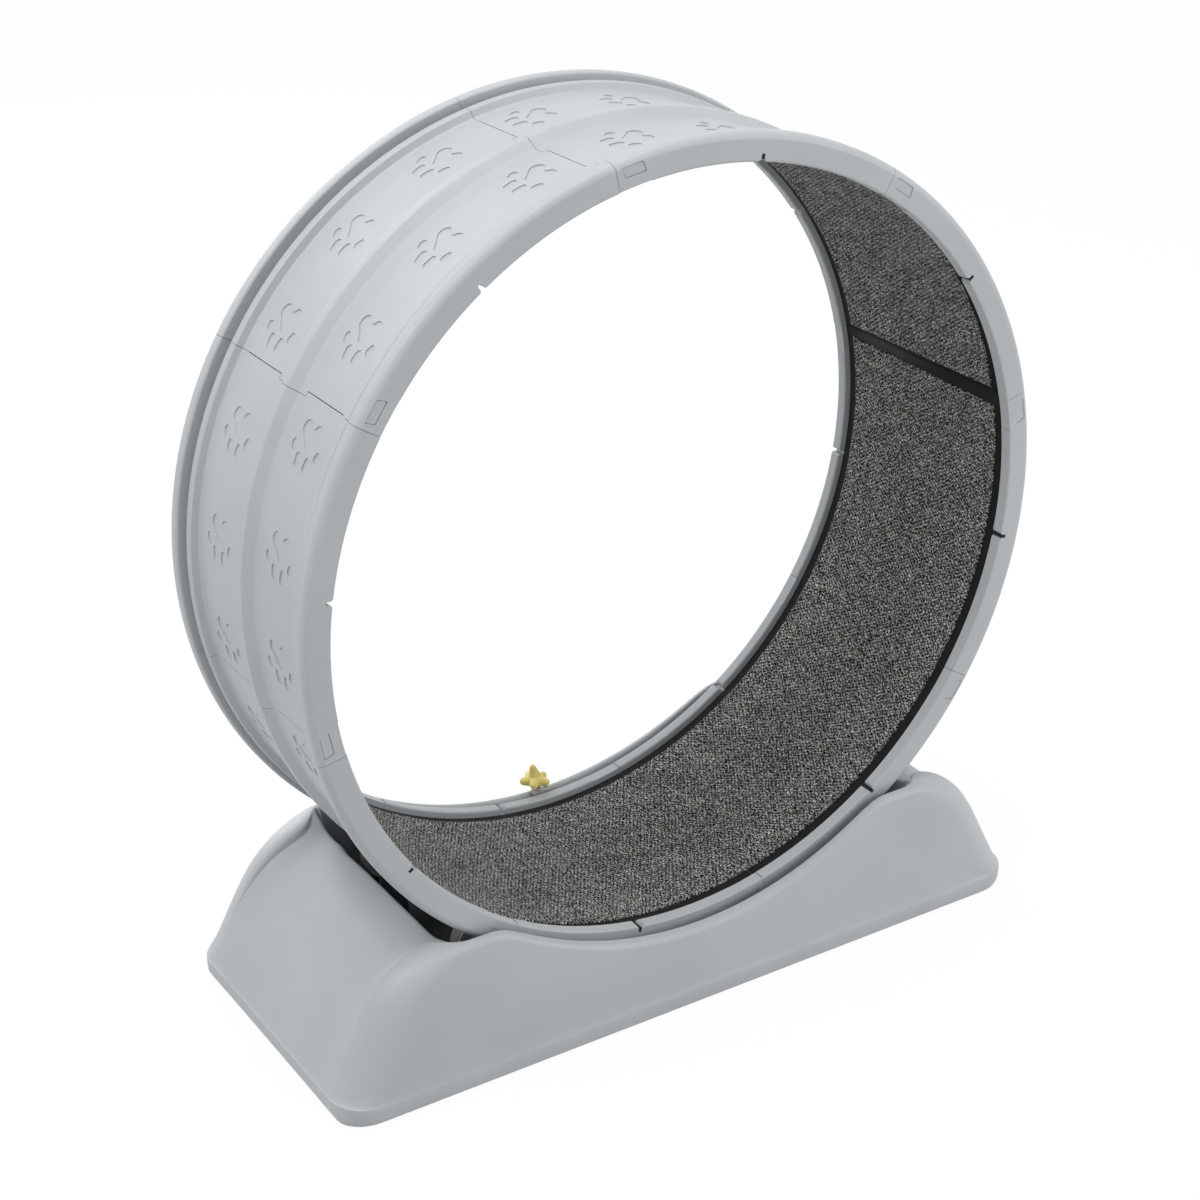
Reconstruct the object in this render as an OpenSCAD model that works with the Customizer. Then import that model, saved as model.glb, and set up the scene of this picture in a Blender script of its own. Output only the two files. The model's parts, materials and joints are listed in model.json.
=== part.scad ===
// A cat exercise wheel: eight clipped segments make the running wheel, four carpet mats line it,
// and it turns on four ball-bearing rollers that stand in the trough of a weighted-looking foot.
// The origin is on the floor under the middle of the foot. X is the foot's length, Y the wheel's axis.

/* [Wheel] */
// Outer diameter of the wheel over its rims
wheel_d = 900; // [860:5:904]
// Width of the wheel over both flanges
wheel_w = 309; // [304:1:316]
// Radial height of the flange face on each side
flange_h = 30; // [28:1:34]
// Thickness of the flange ring along the axis
flange_t = 14; // [12:0.5:16]
// Radius of the flange's outer corner
flange_round = 8; // [5:0.5:9]
// Distance from the rim's top down to the deck that the mats lie on
deck_drop = 20; // [18:0.5:22]
// Wall thickness of the panel
panel_t = 4; // [3:0.5:5]
// Width of the rim on each side
rim_w = 17.5; // [16.5:0.5:20]
// Width of the channel between the rim and the lip
channel_w = 8; // [6:0.5:10]
// Height of the lip beside the rim above the panel
lip_h = 9; // [6:0.5:12]
// Width of the lip with both slopes
lip_w = 15; // [12:0.5:17]
// Height of the ridge round the middle above the panel
ridge_h = 9.5; // [6:0.5:12]
// Half width of the ridge at its foot
ridge_half_w = 16; // [12:0.5:20]
// Number of segments
segments = 8; // [8]
// Turn of the first seam from the top, clockwise from the front, in degrees
seam_turn = -13.34; // [-44:0.01:44]
// Open line between two segments
seam_gap = 0.5; // [0.3:0.1:1]

/* [Clips] */
// Length of the clip tongue past its segment's end
tongue_l = 40; // [34:1:48]
// Clearance round the tongue in the rim box
tongue_gap = 0.3; // [0.2:0.05:0.5]
// Wall thickness of the rim box
box_wall = 3.5; // [3:0.25:4]
// Length of the clip window
window_l = 24.5; // [18:0.5:28]
// Height of the clip window
window_h = 11; // [8:0.5:12]
// Distance from the seam to the window
window_start = 7.5; // [6:0.5:10]
// How far the window's outer edge leans back along the rim
window_lean = 3; // [0:0.5:5]
// Depth of the step in the flange's inner edge over the tongue
edge_step = 1.2; // [0.5:0.1:2]
// Width of the notch in the flange's inner edge
notch_w = 4; // [3:0.5:6]
// Depth of the notch
notch_depth = 8.5; // [6:0.5:11]
// Radius of the notch's flared mouth
notch_round = 5; // [3:0.5:6]

/* [Paw prints] */
// Paw prints along one segment in each row
paws = 3; // [1:1:3]
// Size of a print, whose outline is drawn in shares of it
paw_size = 50; // [40:1:54]
// Depth of a print in the panel
paw_depth = 1.2; // [0.6:0.1:2]
// How far a row's middle lies outside the middle of the panel
paw_shift = 0.5; // [-3:0.5:3]
// Distance from the seam to the first print of the back row
paw_start = 12; // [8:1:16]
// How far the front row starts after the back row
paw_stagger = 30; // [0:1:34]

/* [Mats] */
// Number of carpet mats round the wheel
mats = 4; // [4]
// Thickness of a mat with its pile
mat_t = 4; // [3:0.5:5]
// Gap between a mat and each flange, and between two mats
mat_gap = 1; // [0.5:0.5:3]

/* [Foot] */
// Gap between the wheel's lowest point and the floor
wheel_lift = 70; // [69:0.5:72]
// Length of each end from the trough to the skirt
end_l = 150.5; // [146:0.5:154]
// Width of each long wall from the trough to the skirt
wall_w = 24.5; // [23:0.5:27]
// Corner radius of the foot seen from above
foot_corner = 40; // [34:1:46]
// Height of the four humps
hump_h = 172; // [168:1:176]
// How far the hollow in the long sides is inside the wheel's rim
cradle_inset = 25; // [23:0.5:29]
// Distance from a roller's axle to the trough's end
well_reach = 54.4; // [50:0.2:58]
// Gap between the trough and the wheel's flange
well_gap = 8.5; // [8:0.5:9.5]
// Corner radius of the trough seen from above
well_corner = 15; // [10:1:20]
// Radius that rounds each hump down into the end face
end_round = 115; // [105:1:120]
// Slope of the end face from the horizontal, in degrees
end_slope = 64.5; // [62:0.5:67]
// Height of the skirt's band
skirt_h = 24.5; // [20:0.5:28]
// How far the skirt stands proud of the wall
skirt_proud = 2.2; // [1.6:0.1:3]
// How far the long walls lean in from skirt to hump
wall_lean = 13; // [11:0.5:14]
// Depth of the scooped dish in each end
dish_depth = 14; // [10:1:18]
// Wall thickness of the foot's shell
shell_t = 3.5; // [3:0.5:4]

/* [Rollers] */
// Outer diameter of a roller over its tyre
roller_d = 60; // [56:1:64]
// Width of a roller over its flanges
roller_w = 17; // [15:0.5:19]
// Angle of each roller from the bottom of the wheel, in degrees
roller_turn = 31.5; // [29:0.5:33]
// Distance of a roller's middle from the foot of the wheel's lip
roller_inset = 10.5; // [10:0.5:13]
// Thickness of the tyre
tyre_t = 4; // [3:0.5:6]
// Gap between a tyre and the wheel at rest
tread_gap = 0.3; // [0.2:0.05:0.5]
// Diameter of a roller's axle
axle_d = 8; // [8]

/* [Toy] */
// Height of the star
star_h = 29; // [26:1:33]
// Width of the star over its lobes
star_w = 35; // [31:1:37]

/* [Hidden] */

plastic = [0.69, 0.71, 0.72];
dark_plastic = [0.42, 0.43, 0.44];
rubber = [0.2, 0.2, 0.21];
steel = [0.72, 0.72, 0.74];
carpet = [0.25, 0.25, 0.25];
tyre_colour = [0.5, 0.5, 0.46];
toy_yellow = [0.87, 0.76, 0.35];

// Smoothness of the wheel's curves, and of small round parts
$fn = 96;
small_fn = 48;
// Overrun of a cut past the face that it opens
over = 1;

rim_r = wheel_d / 2;
flange_in_r = rim_r - flange_h;
deck_r = rim_r - deck_drop;
panel_r = deck_r + panel_t;
flange_y = wheel_w / 2;
rim_inner_y = flange_y - rim_w;
lip_foot_y = rim_inner_y - channel_w - lip_w;
segment_turn = 360 / segments;
axle_h = rim_r + wheel_lift;
cradle_r = rim_r - cradle_inset;

// Turn of a length along a circle, and half of the open line at a seam
function turn_of(length, r) = length / r * 180 / PI;
half_gap_turn = turn_of(seam_gap / 2, rim_r);

// Points of an outline whose corners are rounded: each corner is [x, y, radius]
function unit(v) = v / norm(v);
function corner_arc(a, b, c, r, n) =
    let (u = unit(a - b), w = unit(c - b), half = acos(u * w) / 2)
    let (reach = r / tan(half), middle = b + unit(u + w) * r / sin(half))
    let (start = b + u * reach - middle, finish = b + w * reach - middle)
    [for (i = [0:n]) middle + unit(start * (1 - i / n) + finish * i / n) * r];
function flat(list) = [for (part = list) for (p = part) p];
function rounded(corners, n = 4) =
    let (m = len(corners))
    flat([for (i = [0:m - 1])
        let (a = corners[(i + m - 1) % m], b = corners[i], c = corners[(i + 1) % m])
        b[2] == 0 ? [[b[0], b[1]]]
            : corner_arc([a[0], a[1]], [b[0], b[1]], [c[0], c[1]], b[2], n)]);
function mirrored(corners) =
    [for (i = [len(corners) - 1:-1:0]) [corners[i][0], -corners[i][1], corners[i][2]]];

// Things on the wheel: X points out from the axis, Y against the clock and Z to the front
module on_wheel(turn)
    translate([0, 0, axle_h]) rotate([90, 0, 0]) rotate([0, 0, 90 - turn]) children();

// A solid of revolution between two turns, clockwise from the front
module swept(from_turn, to_turn)
    on_wheel(to_turn) rotate_extrude(angle = to_turn - from_turn) children();

// Wheel segment: section
crest_half_w = 5;
ridge_hollow = 3;
rim_top_round = 3;
small_round = 1.5;
crest_round = 4;
ridge_foot_round = 5;
lip_foot_round = 3;
lip_top_round = 2;
flange_in_round = 2.5;
deck_round = 0.5;
hollow_round = 1;
lip_slope = 3;
lip_out_slope = 1.5;
half_section = [
    [panel_r + ridge_h, crest_half_w, crest_round],
    [panel_r, ridge_half_w, ridge_foot_round],
    [panel_r, lip_foot_y, lip_foot_round],
    [panel_r + lip_h, lip_foot_y + lip_slope, lip_top_round],
    [panel_r + lip_h, lip_foot_y + lip_w - lip_out_slope, small_round],
    [panel_r, lip_foot_y + lip_w, small_round],
    [panel_r, rim_inner_y, small_round],
    [rim_r, rim_inner_y, rim_top_round],
    [rim_r, flange_y, flange_round],
    [flange_in_r, flange_y, flange_in_round],
    [flange_in_r, flange_y - flange_t, lip_top_round],
    [deck_r, flange_y - flange_t, deck_round],
    [deck_r, ridge_half_w - ridge_hollow, hollow_round],
    [panel_r + ridge_h - ridge_hollow, crest_half_w - ridge_hollow / 2, hollow_round]
];
box_low_r = deck_r + 2;
box_high_r = rim_r - box_wall;
box_y = rim_inner_y + box_wall;
box_w = flange_y - box_wall - box_y;

module rim_box(grow)
    for (side = [-1, 1])
        translate([box_low_r - grow, side * (box_y + box_w / 2) - box_w / 2 - grow])
            square([box_high_r - box_low_r + 2 * grow, box_w + 2 * grow]);

module wheel_section() {
    difference() {
        polygon(rounded(concat(half_section, mirrored(half_section))));
        rim_box(0);
    }
}

// The ridge laps over the seam by a short sleeve
sleeve_flap = 12.5;
sleeve_half_w = ridge_half_w + sleeve_flap;
sleeve_l = 5;
module sleeve_band(gap)
    translate([deck_r - over, -sleeve_half_w - gap])
        square([ridge_h + panel_t + 2 * over, 2 * (sleeve_half_w + gap)]);

// Outline of the clip window from its middle: X out from the axis, Y against the clock
window_round = 1.5;
function window_outline(gap) =
    let (h = window_h / 2 - gap, l = window_l / 2 - gap, s = window_lean / 2)
    rounded([[h, l + s, window_round], [-h, l - s, window_round],
        [-h, -l - s, window_round], [h, -l + s, window_round]]);
window_mid_r = box_low_r + window_h / 2;
window_mid_turn = turn_of(window_start + window_l / 2, window_mid_r);

// The window's shape through a face of the flange: gap is taken off its outline
module window_prism(turn, low_y, high_y, gap)
    on_wheel(turn) translate([window_mid_r, 0, 0])
        for (side = [0, 1])
            mirror([0, 0, side]) translate([0, 0, low_y])
                linear_extrude(height = high_y - low_y) polygon(window_outline(gap));

// Tongues at the clockwise end of a segment, one in each rim, with the boss that snaps into the window
root_l = 8;
boss_recess = 0.6;
window_gap = 0.5;
module tongues(seam) {
    tongue_end = seam + turn_of(tongue_l, rim_r);
    swept(seam - turn_of(root_l, rim_r), tongue_end) rim_box(-tongue_gap);
    swept(seam - turn_of(root_l, rim_r), seam - half_gap_turn) rim_box(box_wall / 4);
    window_prism(seam + window_mid_turn, box_y + box_w / 2, flange_y - boss_recess, window_gap);
}

// Notch in the flange's inner edge: a slot with a flared mouth
module notch(turn) {
    mouth = notch_w / 2 + notch_round;
    on_wheel(turn)
        for (side = [0, 1])
            mirror([0, 0, side]) translate([flange_in_r, 0, flange_y - flange_t - over])
                linear_extrude(height = flange_t + 2 * over) {
                    translate([-over, -notch_w / 2]) square([notch_depth + over, notch_w]);
                    difference() {
                        translate([-over, -mouth]) square([over + notch_round, 2 * mouth]);
                        for (s = [-1, 1])
                            translate([notch_round, s * mouth]) circle(r = notch_round, $fn = small_fn);
                        for (s = [-1, 1]) translate([-over, s * mouth - (s + 1) / 2 * notch_round / 2])
                            square([over, notch_round / 2]);
                    }
                }
}

// One paw print, from its toe end: X to the back of the wheel, -Y clockwise along the panel
toe_w_share = 0.18;
toe_shares = [
    [0.47, 0.44, 0.24], [0.19, 0.2, 0.32], [-0.16, 0.2, 0.32], [-0.45, 0.44, 0.26]
];
toe_turns = [24, 8, -8, -24];
pad_tip_shares = [0, 0.58, 0.13];
pad_lobe_shares = [[0.21, 0.85, 0.17], [-0.21, 0.85, 0.17]];
toe_w = toe_w_share * paw_size;
toes = toe_shares * paw_size;
pad_tip = pad_tip_shares * paw_size;
pad_lobes = pad_lobe_shares * paw_size;
side_share = 0.92;
back_share = 0.39;
lobe_end_share = 0.7;
dent_share = 0.3;
module paw_outline() {
    for (i = [0:len(toes) - 1])
        translate([toes[i][0], -toes[i][1]]) rotate(toe_turns[i]) {
            toe_l = toes[i][2] - toe_w;
            square([toe_w, toe_l], center = true);
            for (s = [-1, 1]) translate([0, s * toe_l / 2]) circle(d = toe_w, $fn = small_fn);
        }
    translate([pad_tip[0], -pad_tip[1]]) circle(r = pad_tip[2], $fn = small_fn);
    for (lobe = pad_lobes) translate([lobe[0], -lobe[1]]) circle(r = lobe[2], $fn = small_fn);
    polygon([
        [pad_tip[0] - pad_tip[2] * side_share, -pad_tip[1] + pad_tip[2] * back_share],
        [pad_tip[0] + pad_tip[2] * side_share, -pad_tip[1] + pad_tip[2] * back_share],
        [pad_lobes[0][0] + pad_lobes[0][2] * side_share, -pad_lobes[0][1] + pad_lobes[0][2] * back_share],
        [pad_lobes[0][0], -pad_lobes[0][1] - pad_lobes[0][2] * lobe_end_share],
        [0, -pad_lobes[0][1] - pad_lobes[0][2] * dent_share],
        [pad_lobes[1][0], -pad_lobes[1][1] - pad_lobes[1][2] * lobe_end_share],
        [pad_lobes[1][0] - pad_lobes[1][2] * side_share, -pad_lobes[1][1] + pad_lobes[1][2] * back_share]
    ]);
}

paw_turn = segment_turn / 3;
paw_row_y = (ridge_half_w + lip_foot_y) / 2 + paw_shift;
paw_reach = 8;
module paw_prints(seam) {
    difference() {
        for (i = [0:paws - 1], row = [0, 1])
            on_wheel(seam + turn_of(paw_start + row * paw_stagger, panel_r) + i * paw_turn)
                translate([panel_r - paw_reach, 0, (2 * row - 1) * paw_row_y])
                    rotate([0, 90, 0]) linear_extrude(height = 2 * paw_reach) paw_outline();
        on_wheel(0) cylinder(r = panel_r - paw_depth, h = wheel_w, center = true);
    }
}

// Relief along the panel's end that makes the seam a dark line
relief_inset = 13;
relief_in_y = sleeve_half_w + seam_gap;
relief_out_y = lip_foot_y - relief_inset;
relief_mid_y = (relief_in_y + relief_out_y) / 2;
relief_l = relief_out_y - relief_in_y;
relief_w = 0.8;
relief_depth = 2.5;
module seam_relief(seam)
    swept(seam - half_gap_turn, seam + turn_of(relief_w, rim_r))
        for (side = [-1, 1])
            translate([panel_r - relief_depth, side * relief_mid_y - relief_l / 2])
                square([relief_depth + over, relief_l]);

// One segment from its seam, clockwise to the next
module segment(seam) {
    next = seam + segment_turn;
    sleeve_turn = turn_of(sleeve_l, panel_r);
    color(plastic) difference() {
        union() {
            difference() {
                swept(seam + half_gap_turn, next - half_gap_turn) wheel_section();
                swept(next - sleeve_turn - 2 * half_gap_turn, next + half_gap_turn) sleeve_band(seam_gap);
            }
            swept(seam - sleeve_turn, seam + 2 * half_gap_turn)
                intersection() {
                    wheel_section();
                    sleeve_band(0);
                }
            tongues(next);
        }
        window_prism(seam + window_mid_turn, box_y + box_w - box_wall / 2, flange_y + over, 0);
        swept(seam - half_gap_turn, seam + turn_of(tongue_l + over, rim_r))
            for (side = [-1, 1])
                translate([flange_in_r - over, side * flange_y - flange_t - over])
                    square([over + edge_step, 2 * (flange_t + over)]);
        notch(seam + segment_turn / 2);
        paw_prints(seam);
        seam_relief(seam);
    }
}

// All segments are the second one, turned about the axis
drawn_segment = 1;
module wheel_segment(i)
    translate([0, 0, axle_h]) rotate([0, (i - drawn_segment) * segment_turn, 0]) translate([0, 0, -axle_h])
        segment(seam_turn + drawn_segment * segment_turn);

// Carpet mat: a quarter of the deck, a little above it
mat_lift = 0.1;
module tread_mat(i) {
    from_turn = seam_turn + i * 360 / mats;
    gap_turn = turn_of(mat_gap / 2, deck_r);
    half_w = flange_y - flange_t - mat_gap;
    color(carpet)
        swept(from_turn + gap_turn, from_turn + 360 / mats - gap_turn)
            translate([deck_r - mat_t, -half_w]) square([mat_t - mat_lift, 2 * half_w]);
}

// Places of the four rollers: left front, right front, left back, right back
tread_r = panel_r + tread_gap + roller_d / 2;
roller_x = tread_r * sin(roller_turn);
roller_y = lip_foot_y - roller_inset;
roller_z = axle_h - tread_r * cos(roller_turn);
function roller_place(i) = [(i % 2 == 0 ? -1 : 1) * roller_x, (i < 2 ? -1 : 1) * roller_y, roller_z];
// A roller's own frame: its axis along Z, with +Z away from the wheel's middle plane
module at_roller(i)
    translate(roller_place(i)) rotate([i < 2 ? 90 : -90, 0, 0]) children();

// Foot: heights and widths that its skins share. a is the distance from the middle along X.
well_half_l = roller_x + well_reach;
well_half_w = flange_y + well_gap;
foot_half_l = well_half_l + end_l;
foot_half_w = well_half_w + wall_w;
rim_h = 0.5;
skirt_tuck = 4;
skirt_wide_z = 13;
skirt_bevel = 2;
plate_gap = 0.3;
plate_z = 4;
plate_t = 4;
well_rim_h = plate_z + plate_t;
wall_half_w = foot_half_w - skirt_proud;
shoulder_r = 9;
end_arc_l = end_round * sin(end_slope);
hump_end_x = foot_half_l - skirt_proud
    - (hump_h - end_round * (1 - cos(end_slope)) - skirt_h) / tan(end_slope) - end_arc_l;

function smooth(a, b, x) = let (t = max(0, min(1, (x - a) / (b - a)))) t * t * (3 - 2 * t);
function mix(a, b, t) = a * (1 - t) + b * t;
function drop(r, d) = r - sqrt(max(0, r * r - d * d));

// Height of the end profile, the same over the foot's whole width
function end_height(a) =
    a < hump_end_x ? hump_h
        : a < hump_end_x + end_arc_l ? hump_h - drop(end_round, a - hump_end_x)
        : max(skirt_h, hump_h - end_round * (1 - cos(end_slope))
            - (a - hump_end_x - end_arc_l) * tan(end_slope));
// Height of the long wall's top: the hollow that follows the wheel, then the hump
function side_height(a) = min(end_height(a), axle_h - cradle_r + drop(cradle_r, min(a, cradle_r)));
function wall_y(z) = wall_half_w - wall_lean * max(0, z - skirt_h) / (hump_h - skirt_h);
// Half width of a rounded rectangle at a
function plan_y(a, half_l, half_w, corner) =
    half_w - drop(corner, max(0, min(corner, a - half_l + corner)));
dish_inset_y = 25.5;
dish_slope_y = 44;
dish_inset_x = 17;
dish_slope_x = 41;
dish_out_y = foot_half_w - dish_inset_y;
dish_in_y = dish_out_y - dish_slope_y;
dish_foot_x = foot_half_l - dish_inset_x;
dish_top_x = dish_foot_x - dish_slope_x;
blend_l = 30;
trough_lip = 1.5;
function dish(a, y) = dish_depth * (1 - smooth(dish_in_y, dish_out_y, abs(y)))
    * (1 - smooth(dish_top_x, dish_foot_x, a));

// A skin of the foot is [offset, drop of its top, shoulder radius, shoulder points]
outer_skin = [0, 0, shoulder_r, 5];
inner_skin = [shell_t, 9, 1, 2];
hollow_shares = [0, 0.16, 0.32, 0.48, 0.64, 0.8, 0.92, 1];
corner_shares = [0.4, 0.75, 1];
end_shares = [
    0.0003, 0.07, 0.16, 0.27, 0.39, 0.5, 0.6, 0.69, 0.76, 0.825, 0.88, 0.925, 0.96, 0.985, 0.997, 1
];
wall_shares = [0, 0.35, 0.7];
lip_share = 0.995;
brim_share = 0.99;
floor_shares = [1, 0.92, 0.84, 0.76, 0.68, 0.42, 0];

// Distances from the middle at which a skin has a section
function half_stations(t) =
    let (corner_x = well_half_l - well_corner, end_x = well_half_l + t, l = foot_half_l - t)
    concat(
        [for (s = hollow_shares) s * (corner_x - well_corner)],
        [for (s = corner_shares) mix(corner_x, end_x, s)],
        [for (s = end_shares) mix(end_x, l, s)]);
function stations(t) =
    let (h = half_stations(t), n = len(h))
    concat([for (i = [n - 1:-1:1]) -h[i]], h);

// Half section of a skin at a, from the rim on the floor to the middle
function half_section_at(a, skin) =
    let (
        t = skin[0], n = skin[3],
        in_well = a <= well_half_l + t,
        blend = smooth(well_half_l + t, well_half_l + t + blend_l, a),
        corner = foot_corner - t,
        skirt_y = plan_y(a, foot_half_l - t, foot_half_w - t - (t > 0 ? skirt_proud : 0), corner),
        lift = rim_h + (skirt_wide_z - rim_h) * pow(max(0, 1 - (foot_half_l - a) / skirt_tuck), 2),
        reach = mix(skin[2], corner, blend),
        top = side_height(a + (in_well ? 0 : t)) - mix(skin[1], t, blend)
    )
    let (
        shoulder = [for (i = [0:n])
            let (
                turn = 90 * i / n,
                side_z = top - skin[2] * (1 - sin(turn)),
                end_z = end_height(a + t + corner * (1 - sin(turn))) - t,
                z = max(skirt_h - t, mix(side_z, end_z, blend)),
                y = wall_y(z) - t - reach * (1 - cos(turn))
            )
            [min(y, skirt_y), z]],
        edge_y = in_well ? plan_y(a, well_half_l + t, well_half_w + t, well_corner + t) : shoulder[n][0]
    )
    concat(
        t > 0
            ? [[skirt_y + plate_gap, rim_h], [skirt_y, skirt_wide_z / 2], [skirt_y, skirt_wide_z]]
            : [[skirt_y - skirt_tuck, lift], [skirt_y - skirt_tuck / 4, mix(lift, skirt_wide_z, 0.5)],
                [skirt_y, skirt_wide_z]],
        [[skirt_y, skirt_h - skirt_bevel - t]],
        [for (s = wall_shares)
            let (z = mix(skirt_h - t, shoulder[0][1], s))
            [min(skirt_y, mix(min(skirt_y, wall_y(skirt_h) - t), shoulder[0][0], s)), z]],
        shoulder,
        in_well
            ? concat(
                [[edge_y, top - trough_lip]],
                [for (s = floor_shares) [s * edge_y, well_rim_h]])
            : concat(
                [[lip_share * edge_y, top - dish(a, lip_share * edge_y)]],
                [for (s = floor_shares) [s * edge_y * brim_share, top - dish(a, s * edge_y * brim_share)]])
    );
// A point at a thousandth of a millimetre, so that points that should meet are the same
function tidy(p) = [for (v = p) round(v * 1000) / 1000];
function section_at(x, skin) =
    let (half = half_section_at(abs(x), skin), n = len(half))
    concat(
        [for (p = half) tidy([x, p[0], p[1]])],
        [for (i = [n - 2:-1:0]) tidy([x, -half[i][0], half[i][1]])]);

// Faces between two rows of points, one after the other, and between two rows with a step between points
function strip(a, b, count, step_a = 1, step_b = 1, flip = false) =
    [for (i = [0:count - 2])
        let (p = a + i * step_a, q = p + step_a, r = b + (i + 1) * step_b, s = b + i * step_b)
        each flip ? [[p, q, r], [p, r, s]] : [[p, r, q], [p, s, r]]];
// Faces of a grid of m sections with n points each from point k, but for the open floor of the well
function grid_faces(m, n, k, flip) =
    let (open_j = (n - 1) / 2 - len(floor_shares) + 1, open_i = len(end_shares))
    [for (i = [0:m - 2], j = [0:n - 2])
        if (i < open_i || i >= m - 1 - open_i || j < open_j || j >= n - 1 - open_j)
        let (a = k + i * n + j, b = a + 1, c = a + n + 1, d = a + n)
        each flip ? [[a, b, c], [a, c, d]] : [[a, c, b], [a, d, c]]];
function cap_face(first, n, flip) =
    [flip ? [for (j = [n - 1:-1:0]) first + j] : [for (j = [0:n - 1]) first + j]];

module foot_skins() {
    outer = [for (x = stations(0)) section_at(x, outer_skin)];
    inner = [for (x = stations(shell_t)) section_at(x, inner_skin)];
    m = len(outer);
    n = len(outer[0]);
    ni = len(inner[0]);
    k = m * n;
    last_out = (m - 1) * n;
    last_in = k + (m - 1) * ni;
    shares = len(floor_shares);
    open_i = len(end_shares);
    rows = m - 2 * open_i;
    open_out = open_i * n + (n - 1) / 2 - shares + 1;
    open_in = k + open_i * ni + (ni - 1) / 2 - shares + 1;
    across = 2 * shares - 1;
    polyhedron(
        points = concat(flat(outer), flat(inner)),
        faces = concat(
            grid_faces(m, n, 0, false), cap_face(0, n, false), cap_face(last_out, n, true),
            grid_faces(m, ni, k, true), cap_face(k, ni, true), cap_face(last_in, ni, false),
            strip(0, k, m, n, ni, false), strip(n - 1, k + ni - 1, m, n, ni, true),
            [[0, k + ni - 1, k], [0, n - 1, k + ni - 1]],
            [[last_out, last_in, last_in + ni - 1], [last_out, last_in + ni - 1, last_out + n - 1]],
            strip(open_out, open_in, rows, n, ni, true),
            strip(open_out + across - 1, open_in + across - 1, rows, n, ni, false),
            strip(open_out, open_in, across, 1, 1, false),
            strip(open_out + (rows - 1) * n, open_in + (rows - 1) * ni, across, 1, 1, true)),
        convexity = 6);
}

bolt_d = 6;
bolt_reach = 23;
bracket_l = 64;
bracket_w = 44;
bracket_plate_t = 5;
cheek_t = 4.5;
cheek_gap = 1.2;
cheek_top_r = 12;
cheek_foot_l = 46;
cheek_side_share = 0.97;
cheek_rise_share = 0.24;
spacer_r = 6;
spacer_sink = 0.1;
module at_bolts()
    for (i = [0:3], s = [-1, 1])
        translate([roller_place(i)[0] + s * bolt_reach, roller_place(i)[1], 0]) children();

module base_shell() color(plastic) foot_skins();

// Flat panel with rounded corners, from its lower face
module panel(l, w, corner, t) {
    translate([-l / 2 + corner, -w / 2, 0]) cube([l - 2 * corner, w, t]);
    translate([-l / 2, -w / 2 + corner, 0]) cube([l, w - 2 * corner, t]);
    for (sx = [-1, 1], sy = [-1, 1])
        translate([sx * (l / 2 - corner), sy * (w / 2 - corner), 0]) cylinder(r = corner, h = t);
}

bolt_head_d = 12;
bolt_head_h = 3;
module bottom_plate() {
    inset = shell_t + skirt_proud + plate_gap;
    corner = foot_corner - skirt_bevel;
    color(dark_plastic) difference() {
        translate([0, 0, plate_z])
            panel(2 * (foot_half_l - shell_t - plate_gap), 2 * (foot_half_w - inset), corner, plate_t);
        at_bolts() cylinder(d = bolt_d, h = axle_h, $fn = small_fn);
    }
}

foot_pad_d = 34;
pad_end_inset = 57.5;
pad_side_inset = 52.5;
mid_pad_inset = 37.5;
function pad_y(sx) = foot_half_w - (sx == 0 ? mid_pad_inset : pad_side_inset);
module rubber_feet()
    color(rubber)
        for (sx = [-1:1], sy = [-1, 1])
            translate([sx * (foot_half_l - pad_end_inset), sy * pad_y(sx), 0])
                cylinder(d = foot_pad_d, h = plate_z, $fn = small_fn);

bolt_nut_h = 5;
bolt_nut_w = 10;
bolt_end = 1;
module bracket_bolts()
    color(steel)
        at_bolts() {
            head_z = plate_z - bolt_head_h;
            top_z = well_rim_h + bracket_plate_t + bolt_nut_h + bolt_end;
            translate([0, 0, head_z]) cylinder(d = bolt_head_d, h = bolt_head_h, $fn = small_fn);
            translate([0, 0, head_z]) cylinder(d = bolt_d, h = top_z - head_z, $fn = small_fn);
        }

module hex_nut(hole_d, flats, h)
    difference() {
        cylinder(d = flats / cos(30), h = h, $fn = 6);
        translate([0, 0, -over]) cylinder(d = hole_d, h = h + 2 * over, $fn = small_fn);
    }

module bracket_nuts()
    color(steel)
        at_bolts() translate([0, 0, well_rim_h + bracket_plate_t]) hex_nut(bolt_d, bolt_nut_w, bolt_nut_h);

// Cheek of a bracket in the roller's place, in X and Z, as an outline round the axle
module cheek_outline(rise) {
    circle(r = cheek_top_r, $fn = small_fn);
    polygon([
        [-cheek_top_r * cheek_side_share, cheek_top_r * cheek_rise_share],
        [cheek_top_r * cheek_side_share, cheek_top_r * cheek_rise_share],
        [cheek_foot_l / 2, -rise], [-cheek_foot_l / 2, -rise]
    ]);
}

module roller_bracket(i) {
    p = roller_place(i);
    rise = roller_z - well_rim_h - bracket_plate_t;
    cheek_y = roller_w / 2 + cheek_gap;
    color(dark_plastic) difference() {
        union() {
            translate([p[0] - bracket_l / 2, p[1] - bracket_w / 2, well_rim_h])
                cube([bracket_l, bracket_w, bracket_plate_t]);
            for (s = [-1, 1])
                translate([p[0], p[1] + s * (cheek_y + cheek_t / 2) + cheek_t / 2, roller_z])
                    rotate([90, 0, 0])
                        linear_extrude(height = cheek_t) cheek_outline(rise + bracket_plate_t / 2);
            for (s = [-1, 1])
                translate([p[0], p[1] + s * (cheek_y - cheek_gap / 2 + spacer_sink), roller_z])
                    rotate([90, 0, 0]) cylinder(r = spacer_r, h = cheek_gap, center = true, $fn = small_fn);
        }
        at_roller(i) cylinder(d = axle_d, h = 4 * roller_w, center = true, $fn = small_fn);
        at_bolts() cylinder(d = bolt_d, h = roller_z, $fn = small_fn);
    }
}

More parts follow.
